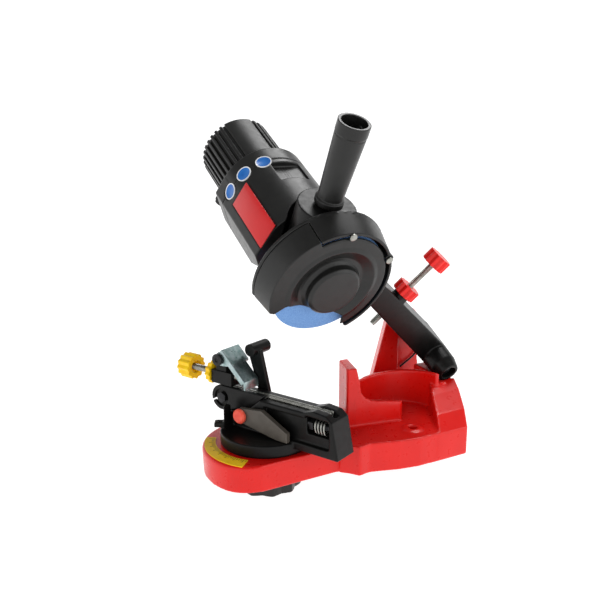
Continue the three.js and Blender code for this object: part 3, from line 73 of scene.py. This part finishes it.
# Lengths below are millimetres in the space that each piece is made in.
MM = 0.001
WELD = 0.002  # corners nearer than this are one
FACET = 0.2  # how far off a round wall a corner may lie and still be moved onto it
FLAT_ANGLE = math.radians(1)  # faces that meet at less are one flat face
BEVEL_SEGMENTS = 2
WIRE_SIDES = 20
THREAD_SIDES = 36
THREAD_ROWS = 8  # rings of corners in each turn of a thread
THREAD_PITCH = 1.25
COIL_STEPS = 48  # places in each turn of a spring
COAT_ROUGHNESS = 0.08

# Sockets of the Mix node for colours, which share their names
MIX_SHARE, MIX_FIRST, MIX_SECOND, MIX_RESULT = 0, 6, 7, 2

# The floor: a flat round, a quarter bend, and a short wall
FLOOR_GAP = 0.0005  # metres under the object
FLOOR_FLAT = 2000
FLOOR_BEND = 1000
FLOOR_TOP = 1400
FLOOR_STEPS = 16
FLOOR_SIDES = 128

# The camera, where the photograph was taken from
CAMERA_PLACE = Vector((-449.4, -589.0, 322.7))
CAMERA_TARGET = Vector((-104.7, 8.0, 148.2))
CAMERA_LENS = 44.27
CAMERA_CLIP = 10


def turn(degrees, axis):
    return Matrix.Rotation(math.radians(degrees), 4, axis)


# Spaces that the pieces are made in: the base, the vise on it, the tilted head, the spindle's
# hub in it, the guard and motor about the spindle, and the stop screw
BASE = Matrix.Translation((-150, 8, 25))
VISE = BASE @ turn(-66, "Z")
HEAD = BASE @ Matrix.Translation((0, 0, 59.46)) @ turn(30, "X")
HUB = HEAD @ Matrix.Translation((31.4, 0, 116.3))
WORK = HUB @ turn(19.1, "Y")
STOP = HEAD @ Matrix.Translation((105.1, 6, 49)) @ turn(32.6, "Y")

# Centres of round walls in the head's space: X and Z, or X and Y for the handle's boss
PIVOT = (204.5, -9.9)
HUB_PLACE = (31.4, 116.3)
BOSS_PLACE = (31.4, 34)


# Mesh tools
def welded(node, space):
    """A CAD node's corners in a space's own millimetres."""
    form = bmesh.new()
    form.from_mesh(frame["nodes"][node].data)
    form.transform((Matrix.Scale(MM, 4) @ space).inverted())
    bmesh.ops.remove_doubles(form, verts=form.verts, dist=WELD)
    return form


def mesh_of(form, name):
    bmesh.ops.recalc_face_normals(form, faces=form.faces)
    mesh = bpy.data.meshes.new(name)
    form.to_mesh(mesh)
    form.free()
    return mesh


def shaped(mesh, *modifiers):
    """The mesh after a row of modifiers, each a type and its settings."""
    holder = bpy.data.objects.new(mesh.name, mesh)
    bpy.context.scene.collection.objects.link(holder)
    for kind, settings in modifiers:
        modifier = holder.modifiers.new(kind.lower(), kind)
        for setting, value in settings.items():
            setattr(modifier, setting, value)
    depsgraph = bpy.context.evaluated_depsgraph_get()
    result = bpy.data.meshes.new_from_object(holder.evaluated_get(depsgraph))
    bpy.data.objects.remove(holder)
    return result


def cut_by(mesh, *others):
    """The mesh less other meshes."""
    for other in others:
        holder = bpy.data.objects.new("tool", other)
        bpy.context.scene.collection.objects.link(holder)
        mesh = shaped(mesh, ("BOOLEAN", {
            "operation": "DIFFERENCE", "object": holder, "solver": "EXACT",
        }))
        bpy.data.objects.remove(holder)
    return mesh


# Each axis with the two across it
AXES = {"x": (0, 1, 2), "y": (1, 0, 2), "z": (2, 0, 1)}


def true_up(mesh, rounds):
    """Moves corners within a facet's depth of a round wall onto it.

    A wall has an axis, a centre, and a height and radius at each of its ends.
    """
    corners = np.empty(len(mesh.vertices) * 3)
    mesh.vertices.foreach_get("co", corners)
    corners = corners.reshape(-1, 3)
    for axis, centre, (low, low_radius), (high, high_radius) in rounds:
        along, first, second = AXES[axis]
        height = corners[:, along]
        share = np.clip((height - low) / (high - low), 0, 1)
        radius = low_radius + (high_radius - low_radius) * share
        across = corners[:, [first, second]] - centre
        reach = np.hypot(across[:, 0], across[:, 1])
        near = (abs(reach - radius) < FACET) & (height > low - FACET) & (height < high + FACET)
        scale = (radius[near] / reach[near])[:, None]
        corners[np.ix_(near, [first, second])] = centre + across[near] * scale
    mesh.vertices.foreach_set("co", corners.ravel())
    mesh.update()


def prism(outline, low, high):
    """An outline drawn out along Z."""
    form = bmesh.new()
    ends = []
    for height in (low, high):
        end = [form.verts.new((x, y, height)) for x, y in outline]
        ends.append(end)
        form.faces.new(end)
    count = len(outline)
    for i in range(count):
        j = (i + 1) % count
        form.faces.new((ends[0][i], ends[0][j], ends[1][j], ends[1][i]))
    return mesh_of(form, "prism")


def wire(places, radius, name):
    """A round wire along a row of places."""
    form = bmesh.new()
    rings = []
    normal = (places[1] - places[0]).orthogonal()
    last = len(places) - 1
    for i, spot in enumerate(places):
        ahead = (places[min(i + 1, last)] - places[max(i - 1, 0)]).normalized()
        normal = (normal - ahead * normal.dot(ahead)).normalized()
        other = ahead.cross(normal)
        ring = []
        for k in range(WIRE_SIDES):
            angle = 2 * math.pi * k / WIRE_SIDES
            reach = math.cos(angle) * normal + math.sin(angle) * other
            ring.append(form.verts.new(spot + radius * reach))
        rings.append(ring)
    for low, high in zip(rings, rings[1:]):
        for k in range(WIRE_SIDES):
            m = (k + 1) % WIRE_SIDES
            form.faces.new((low[k], low[m], high[m], high[k]))
    form.faces.new(rings[0])
    form.faces.new(rings[-1])
    return mesh_of(form, name)


def smooth(points, steps):
    """A smooth row of places through a few, by Catmull and Rom's curve."""
    row = [2 * points[0] - points[1], *points, 2 * points[-1] - points[-2]]
    places = []
    for before, here, there, after in zip(row, row[1:], row[2:], row[3:]):
        for i in range(steps):
            s = i / steps
            curve = 2 * before - 5 * here + 4 * there - after
            twist = 3 * here - before - 3 * there + after
            places.append(0.5 * (2 * here + (there - before) * s + curve * s ** 2 + twist * s ** 3))
    return [*places, points[-1]]


def threaded(radius, depth, low, high, axis="z", centre=(0, 0)):
    """A screw with a rounded thread all along it."""
    along, first, second = AXES[axis]
    form = bmesh.new()
    count = round((high - low) / THREAD_PITCH * THREAD_ROWS)
    rings = []
    for i in range(count + 1):
        height = low + (high - low) * i / count
        ring = []
        for k in range(THREAD_SIDES):
            angle = 2 * math.pi * k / THREAD_SIDES
            wave = 0.5 + 0.5 * math.cos(2 * math.pi * height / THREAD_PITCH - angle)
            reach = radius - depth * (wave if THREAD_ROWS < i < count - THREAD_ROWS else 1)
            corner = [0, 0, 0]
            corner[along] = height
            corner[first] = centre[0] + reach * math.cos(angle)
            corner[second] = centre[1] + reach * math.sin(angle)
            ring.append(form.verts.new(corner))
        rings.append(ring)
    for below, above in zip(rings, rings[1:]):
        for k in range(THREAD_SIDES):
            m = (k + 1) % THREAD_SIDES
            form.faces.new((below[k], below[m], above[m], above[k]))
    form.faces.new(rings[0])
    form.faces.new(rings[-1])
    return mesh_of(form, "thread")


def gathered(name, *pairs):
    """One mesh made of several, each with the index of its material."""
    form = bmesh.new()
    for mesh, index in pairs:
        count = len(form.faces)
        form.from_mesh(mesh)
        form.faces.ensure_lookup_table()
        for face in form.faces[count:]:
            face.material_index = index
    return mesh_of(form, name)


def place(node, mesh, space, slots, angle=180):
    """Puts a mesh in the model in place of a CAD node, on the same body."""
    mesh.transform(Matrix.Scale(MM, 4) @ space)
    for slot in slots:
        mesh.materials.append(finishes[slot])
    mesh.polygons.foreach_set("use_smooth", [True] * len(mesh.polygons))
    if angle < 180:
        mesh.set_sharp_from_angle(angle=math.radians(angle))
    piece = bpy.data.objects.new(node + "_skin", mesh)
    bpy.context.scene.collection.objects.link(piece)
    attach(piece, frame["nodes"][node]["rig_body"])
    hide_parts(node)


def recast(node, space, slot, voxel, passes, rounds=(), cuts=()):
    """A CAD node with the soft edges of a casting or moulding."""
    mesh = mesh_of(welded(node, space), node)
    mesh = cut_by(mesh, *cuts)
    mesh = shaped(mesh, ("REMESH", {"mode": "VOXEL", "voxel_size": voxel}))
    true_up(mesh, rounds)
    mesh = shaped(mesh, ("SMOOTH", {"factor": 0.5, "iterations": passes}))
    place(node, mesh, space, [slot])


def eased(node, space, slot, width, angle=40):
    """A CAD node with its sharp edges broken by a narrow bevel."""
    form = welded(node, space)
    bmesh.ops.dissolve_limit(form, angle_limit=FLAT_ANGLE, verts=form.verts, edges=form.edges)
    mesh = shaped(mesh_of(form, node), ("BEVEL", {
        "width": width, "segments": BEVEL_SEGMENTS, "limit_method": "ANGLE",
        "angle_limit": math.radians(angle), "use_clamp_overlap": True,
    }))
    place(node, mesh, space, [slot], angle)


def rimmed(node, space, width):
    """A disc node with a rim of its own round its outer face."""
    form = welded(node, space)
    bmesh.ops.dissolve_limit(form, angle_limit=FLAT_ANGLE, verts=form.verts, edges=form.edges)
    most_wall_corners = 8
    flats = [face for face in form.faces if len(face.verts) > most_wall_corners]
    outer = max(flats, key=lambda face: face.calc_center_median().xz.length)
    for face in form.faces:
        face.material_index = 1
    bmesh.ops.inset_region(form, faces=[outer], thickness=width)
    bmesh.ops.inset_region(form, faces=[outer], thickness=width / 6, depth=-width / 8)
    outer.material_index = 0
    return mesh_of(form, node)


def marked_scale():
    """The angle scale's plate with a row of marks, longer at every fourth."""
    first_angle, pitch, count = 149, 2.5, 30
    half_width, inner, short, long = 0.22, 49, 52, 54.5
    bottom, top = 0.8, 0.98
    marks = []
    for i in range(count):
        angle = math.radians(first_angle + pitch * i)
        ahead = Vector((math.cos(angle), math.sin(angle)))
        side = half_width * ahead.orthogonal()
        low, high = inner * ahead, (long if i % 4 == 0 else short) * ahead
        outline = [low - side, low + side, high + side, high - side]
        marks.append((prism(outline, bottom, top), 1))
    plate = mesh_of(welded("angle_scale", BASE), "angle_scale")
    return gathered("angle_scale", (plate, 0), *marks)


def return_coil():
    """The return spring's places: a leg down the tower's face, then the coil about the pivot."""
    radius, start, pitch, steps = 9, 40.85, 2.9, 132
    leg_length, leg_steps = 45, 10
    first = Vector((PIVOT[0] + radius, start, PIVOT[1]))
    leg = [first + leg_length * Vector(shares) for shares in (
        (-0.469, -0.332, -0.962), (0, -0.183, -0.702), (0, 0, -0.38),
    )]
    coil = []
    for i in range(steps + 1):
        angle = math.radians(360 * i / COIL_STEPS)
        coil.append(Vector((
            PIVOT[0] + radius * math.cos(angle),
            start + pitch * i / COIL_STEPS,
            PIVOT[1] + radius * math.sin(angle),
        )))
    return [*smooth([*leg, first], leg_steps)[:-1], *coil]


def vise_coil():
    """The vise spring's places, along the rails."""
    start, length, radius, y, z = 63.7, 12.6, 7, -5.5, 32.5
    steps = 4 * COIL_STEPS
    coil = []
    for i in range(steps + 1):
        angle = math.radians(360 * i / COIL_STEPS)
        coil.append(Vector((
            start + length * i / steps, y + radius * math.cos(angle), z + radius * math.sin(angle),
        )))
    return coil


# Materials by slot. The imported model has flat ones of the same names, which these replace.
finishes = {}


def tone(code):
    """A colour given as six hexadecimal digits, in the linear values that a shader takes."""
    shares = [int(code[i:i + 2], 16) / 255 for i in (0, 2, 4)]
    return [s / 12.92 if s <= 0.04045 else ((s + 0.055) / 1.055) ** 2.4 for s in shares] + [1]


def noise(tree, spread, detail=4):
    """Noise over the object, with spots about as wide as the spread in millimetres."""
    coordinates = tree.nodes.new("ShaderNodeTexCoord")
    node = tree.nodes.new("ShaderNodeTexNoise")
    node.inputs["Scale"].default_value = 1 / (spread * MM)
    node.inputs["Detail"].default_value = detail
    node.inputs["Roughness"].default_value = 0.5
    tree.links.new(coordinates.outputs["Object"], node.inputs["Vector"])
    return node.outputs["Fac"]


def mapped(tree, value, low, high):
    """The middle of a noise's range, spread from low to high."""
    node = tree.nodes.new("ShaderNodeMapRange")
    node.inputs["From Min"].default_value = 0.3
    node.inputs["From Max"].default_value = 0.7
    node.inputs["To Min"].default_value = low
    node.inputs["To Max"].default_value = high
    tree.links.new(value, node.inputs["Value"])
    return node.outputs["Result"]


def finish(slot, dark, light, rough, mottle, grain, depth, metal=0.0, coat=0.0, specular=0.5):
    """A surface mottled between two colours, with rough and smooth spots and a fine grain."""
    material = bpy.data.materials.new(slot)
    material.use_nodes = True
    tree = material.node_tree
    shader = tree.nodes["Principled BSDF"]
    shader.inputs["Metallic"].default_value = metal
    shader.inputs["Coat Weight"].default_value = coat
    shader.inputs["Coat Roughness"].default_value = COAT_ROUGHNESS
    shader.inputs["Specular IOR Level"].default_value = specular
    blend = tree.nodes.new("ShaderNodeMix")
    blend.data_type = "RGBA"
    blend.inputs[MIX_FIRST].default_value = tone(dark)
    blend.inputs[MIX_SECOND].default_value = tone(light)
    tree.links.new(mapped(tree, noise(tree, mottle), 0, 1), blend.inputs[MIX_SHARE])
    tree.links.new(blend.outputs[MIX_RESULT], shader.inputs["Base Color"])
    tree.links.new(mapped(tree, noise(tree, mottle / 3), *rough), shader.inputs["Roughness"])
    bump = tree.nodes.new("ShaderNodeBump")
    bump.inputs["Strength"].default_value = 1
    bump.inputs["Distance"].default_value = depth * MM
    tree.links.new(noise(tree, grain, detail=2), bump.inputs["Height"])
    tree.links.new(bump.outputs["Normal"], shader.inputs["Normal"])
    finishes[slot] = material


# Slot, two colours, range of roughness, width of the mottle, width and depth of the grain
finish("red_casting", "dc120c", "e4160f", (0.26, 0.34), 18, 2.4, 0.004, coat=0.15, specular=0.3)
finish("scale_yellow", "f8c414", "ffd424", (0.45, 0.55), 6, 0.8, 0.002, specular=0.2)
finish("black_casting", "090909", "10100f", (0.28, 0.42), 14, 0.9, 0.03, specular=0.2)
finish("black_plastic", "131312", "1a1a19", (0.3, 0.4), 16, 0.5, 0.015, specular=0.4)
finish("grey_plastic", "4a443d", "575149", (0.42, 0.55), 8, 0.5, 0.02)
finish("orange_plastic", "e84838", "f6644c", (0.3, 0.42), 5, 0.8, 0.006, coat=0.1, specular=0.3)
finish("yellow_plastic", "fcc400", "ffd610", (0.3, 0.42), 5, 0.5, 0.02, coat=0.1, specular=0.3)
finish("red_plastic", "e41410", "f02018", (0.3, 0.42), 5, 0.5, 0.02, coat=0.1, specular=0.3)
finish("steel", "86867f", "aeaea8", (0.24, 0.36), 6, 1.2, 0.002, metal=1.0)
finish("zinc", "7f9896", "b4c2c4", (0.26, 0.42), 5, 0.7, 0.02, metal=1.0)
finish("dark_steel", "2a2a2b", "3a3a3c", (0.3, 0.45), 5, 0.5, 0.01, metal=0.9)
finish("abrasive", "5c88c8", "86aede", (0.85, 1.0), 0.8, 0.35, 0.25, specular=0.2)
finish("bronze", "9a7a34", "b9954a", (0.3, 0.45), 5, 0.5, 0.01, metal=1.0)
finish("copper", "a8552c", "c4784a", (0.3, 0.45), 3, 0.4, 0.03, metal=1.0)
finish("laminate", "7c7f82", "96999c", (0.4, 0.55), 4, 0.4, 0.03, metal=0.9)
finish("label_red", "cc1014", "d21418", (0.3, 0.36), 12, 1.5, 0.004, coat=0.1, specular=0.3)
finish("badge_blue", "1c64b8", "2a76c8", (0.3, 0.36), 8, 1.5, 0.004, coat=0.1, specular=0.3)
finish("badge_white", "e4e6ea", "f4f5f7", (0.25, 0.35), 8, 1.5, 0.008, coat=0.5)
finish("gland_rubber", "151515", "1d1d1c", (0.6, 0.75), 6, 0.4, 0.03)
finish("scale_ink", "20240c", "30341a", (0.5, 0.6), 4, 0.4, 0.005)

# Every CAD node gets its own slot's material; pieces made below take the place of many nodes.
for part in frame["record"]["subparts"]:
    data = frame["nodes"][part["node"]].data
    data.materials.clear()
    data.materials.append(finishes[part["material_slot"]])


# Base
recast("base_casting", BASE, "red_casting", 1.1, 7, rounds=[
    ("z", (-1.5, -4), (-25.5, 60), (-1.5, 61)),
    ("z", (135, -32), (4.5, 47), (42, 47)),
    ("z", (135, -32), (4.5, 52), (42, 52)),
    ("z", (130, -56), (1.5, 9.7), (6.1, 9.7)),
])
recast("lock_knob", BASE, "black_plastic", 0.7, 4)
place("angle_scale", marked_scale(), BASE, ["scale_yellow", "scale_ink"], 30)
eased("turntable_stud", VISE, "steel", 0.3)
eased("pivot_shaft", HEAD, "steel", 0.4)

# Vise
# The slot's cut is larger than the CAD's, which is y -4.1 to 3.3, floor 40.7, x up to 80. It keeps
# the near rail clear of the turntable when the clamp swings.
rail_slot = prism([(-61, -4.6), (80.2, -4.6), (80.2, 3.6), (-61, 3.6)], 40.3, 50)
recast("turntable", VISE, "black_casting", 0.8, 4, rounds=[
    ("z", (0, 0), (0.3, 43.5), (12, 43.5)),
    ("z", (0, 0), (13.5, 40), (19.5, 40)),
], cuts=[rail_slot])
recast("jaw_plate", VISE, "black_casting", 0.45, 3, rounds=[
    ("y", (-48.4, 34.5), (-8.6, 12.4), (-3.3, 12.4)),
    ("y", (-48.4, 34.5), (-8.6, 8.6), (-6.1, 8.6)),
])
for node in ("rail_near", "rail_far"):
    eased(node, VISE, "steel", 0.4)
eased("jaw_bolt", VISE, "dark_steel", 0.4)
recast("clamp_lever", VISE, "grey_plastic", 0.4, 3)
recast("clamp_cap", VISE, "orange_plastic", 0.35, 2, rounds=[
    ("y", (-15.3, 26.9), (-25, 7), (-19.3, 7)),
])
recast("stop_block", VISE, "black_casting", 0.5, 3)
eased("chain_stop_plate", VISE, "zinc", 0.25, angle=25)
eased("chain_stop_pin", VISE, "dark_steel", 0.3)
recast("pawl_lever", VISE, "black_casting", 0.45, 3)
recast("adjust_knob", VISE, "yellow_plastic", 0.35, 2)
recast("adjust_lock_nut", VISE, "yellow_plastic", 0.35, 2)
eased("vise_rod", VISE, "dark_steel", 0.3)
place("adjust_screw", threaded(3.2, 0.45, -103, -24, "x", (0, 55.3)), VISE, ["steel"], 60)
place("vise_spring", wire(vise_coil(), 0.85, "vise_spring"), VISE, ["steel"])

# Arm
recast("arm", HEAD, "black_casting", 0.8, 4, rounds=[
    ("y", PIVOT, (-1, 14.5), (38, 14.5)),
    ("y", PIVOT, (-28, 11), (-17, 14.5)),
    ("y", HUB_PLACE, (17, 61), (39, 61)),
    ("z", BOSS_PLACE, (88, 26), (173, 26)),
    ("y", HUB_PLACE, (17, 22), (70, 22)),
])
recast("handle", HEAD, "black_plastic", 0.6, 2, rounds=[
    ("z", BOSS_PLACE, (175, 12.6), (180, 12.6)),
    ("z", BOSS_PLACE, (181, 11), (239, 13.3)),
    ("z", BOSS_PLACE, (241.4, 13.6), (251, 13.6)),
    ("z", BOSS_PLACE, (193, 8.8), (251, 10.8)),
])
eased("pivot_screw", HEAD, "dark_steel", 0.4)
eased("handle_stud", HEAD, "steel", 0.4)
place("return_spring", wire(return_coil(), 1.05, "return_spring"), HEAD, ["dark_steel"])
place("stop_screw", threaded(3, 0.4, 0, 86), STOP, ["steel"], 60)
for node in ("stop_knob", "jam_knob"):
    recast(node, STOP, "red_plastic", 0.35, 2)

# Guard and motor
recast("guard_back", WORK, "black_plastic", 0.6, 3, rounds=[("y", (0, 0), (-8, 58), (17, 63.5))])
recast("guard_cover", WORK, "black_plastic", 0.6, 3, rounds=[
    ("y", (0, 0), (-8, 58), (17, 63.5)),
    ("y", (0, 0), (-12.2, 24.6), (-7.2, 24.9)),
])
for node in ("cover_screw_1", "cover_screw_2"):
    eased(node, WORK, "steel", 0.3)
recast("motor_front_housing", WORK, "black_plastic", 0.8, 3, rounds=[
    ("y", (0, 0), (46, 44.5), (124, 44.5)),
    ("y", (0, 0), (68, 38), (124, 38)),
])
recast("motor_rear_housing", WORK, "black_plastic", 0.8, 3, rounds=[
    ("y", (0, 0), (124, 44.5), (142, 44.5)),
    ("y", (0, 0), (142, 44.5), (146, 38)),
])
recast("motor_cap", WORK, "black_plastic", 0.6, 2, rounds=[("y", (0, 0), (146, 36.3), (207, 36.3))])
eased("label_plate", WORK, "label_red", 0.3)
for node in ("badge_1", "badge_2", "badge_3"):
    place(node, rimmed(node, WORK, 0.9), WORK, ["badge_blue", "badge_white"], 40)
eased("switch_body", WORK, "black_plastic", 0.5)
eased("switch_rocker", WORK, "red_plastic", 0.4)
eased("cord_gland", WORK, "gland_rubber", 0.3)
eased("grinding_wheel", HUB, "abrasive", 0.5, angle=60)


# Camera, floor and lights
def add_camera():
    data = bpy.data.cameras.new("camera")
    data.lens = CAMERA_LENS
    data.clip_start = CAMERA_CLIP * MM
    camera = bpy.data.objects.new("camera", data)
    bpy.context.scene.collection.objects.link(camera)
    camera.location = CAMERA_PLACE * MM
    camera.rotation_euler = (CAMERA_TARGET - CAMERA_PLACE).to_track_quat("-Z", "Y").to_euler()
    bpy.context.scene.camera = camera


def add_floor(height):
    """A pale bowl: flat under the object, then curving up all round it."""
    material = bpy.data.materials.new("floor")
    material.use_nodes = True
    shader = material.node_tree.nodes["Principled BSDF"]
    shader.inputs["Base Color"].default_value = (0.3, 0.3, 0.3, 1)
    shader.inputs["Roughness"].default_value = 0.7
    shader.inputs["Emission Color"].default_value = (1, 1, 1, 1)
    shader.inputs["Emission Strength"].default_value = 0.95
    profile = [(0, 0)]
    for i in range(FLOOR_STEPS + 1):
        angle = math.radians(90 * i / FLOOR_STEPS)
        profile.append((
            FLOOR_FLAT + FLOOR_BEND * math.sin(angle), FLOOR_BEND - FLOOR_BEND * math.cos(angle),
        ))
    profile.append((FLOOR_FLAT + FLOOR_BEND, FLOOR_TOP))
    form = bmesh.new()
    rings = []
    for i in range(FLOOR_SIDES):
        angle = 2 * math.pi * i / FLOOR_SIDES
        rings.append([form.verts.new((
            radius * MM * math.cos(angle), radius * MM * math.sin(angle), z * MM + height,
        )) for radius, z in profile])
    for i in range(FLOOR_SIDES):
        here, there = rings[i], rings[(i + 1) % FLOOR_SIDES]
        for j in range(len(profile) - 1):
            form.faces.new((here[j], there[j], there[j + 1], here[j + 1]))
    bmesh.ops.remove_doubles(form, verts=form.verts, dist=MM)
    mesh = bpy.data.meshes.new("floor")
    form.to_mesh(mesh)
    form.free()
    mesh.materials.append(material)
    mesh.polygons.foreach_set("use_smooth", [True] * len(mesh.polygons))
    floor = bpy.data.objects.new("floor", mesh)
    bpy.context.scene.collection.objects.link(floor)


def add_light(name, spot, aim, size, power):
    """A square soft light, with its power in watts."""
    data = bpy.data.lights.new(name, "AREA")
    data.shape = "SQUARE"
    data.size = size * MM
    data.energy = power
    light = bpy.data.objects.new(name, data)
    bpy.context.scene.collection.objects.link(light)
    light.location = Vector(spot) * MM
    light.rotation_euler = (Vector(aim) - Vector(spot)).to_track_quat("-Z", "Y").to_euler()


def add_world(strength):
    """An even white light from all round."""
    world = bpy.data.worlds.new("world")
    bpy.context.scene.world = world
    world.use_nodes = True
    background = world.node_tree.nodes["Background"]
    background.inputs["Color"].default_value = (1, 1, 1, 1)
    background.inputs["Strength"].default_value = strength


add_camera()
add_floor(cad_box[0].z - FLOOR_GAP)
add_light("top", (450, 300, 1250), (-100, 50, 150), 700, 9)
add_light("left", (-1300, -500, 700), (-100, 0, 120), 900, 1.6)
add_light("right", (700, -1100, 500), (-60, 0, 100), 900, 2.8)
add_world(0.3)
bpy.context.scene.view_settings.view_transform = "Standard"
